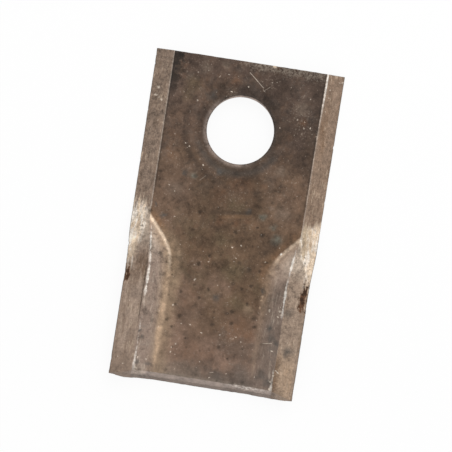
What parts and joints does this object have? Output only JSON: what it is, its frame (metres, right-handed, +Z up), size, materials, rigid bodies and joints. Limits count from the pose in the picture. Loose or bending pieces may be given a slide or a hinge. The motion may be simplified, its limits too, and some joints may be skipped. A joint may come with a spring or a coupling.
{
  "type": "rotary mower blade",
  "caption": "Flat steel swing knife for a rotary mower: pivot hole at one end, both long sides ground to cutting edges, the sides of the outer half pressed up into wings.",
  "frame": {"origin": "centre of the pivot hole at the underside, the flat face that the blade lies on", "axes": "+Z up along the pivot hole, away from the underside; +Y along the blade from the tip towards the hole end; +X across the blade"},
  "size_m": [0.051, 0.0883, 0.006],
  "materials": {
    "worn_steel": "hardened spring steel with a brown-grey mill and soil patina, worn pale along the ground bevels and the creases, light rust"
  },
  "bodies": {
    "root": {"blade": "worn_steel"}
  },
  "joints": []
}
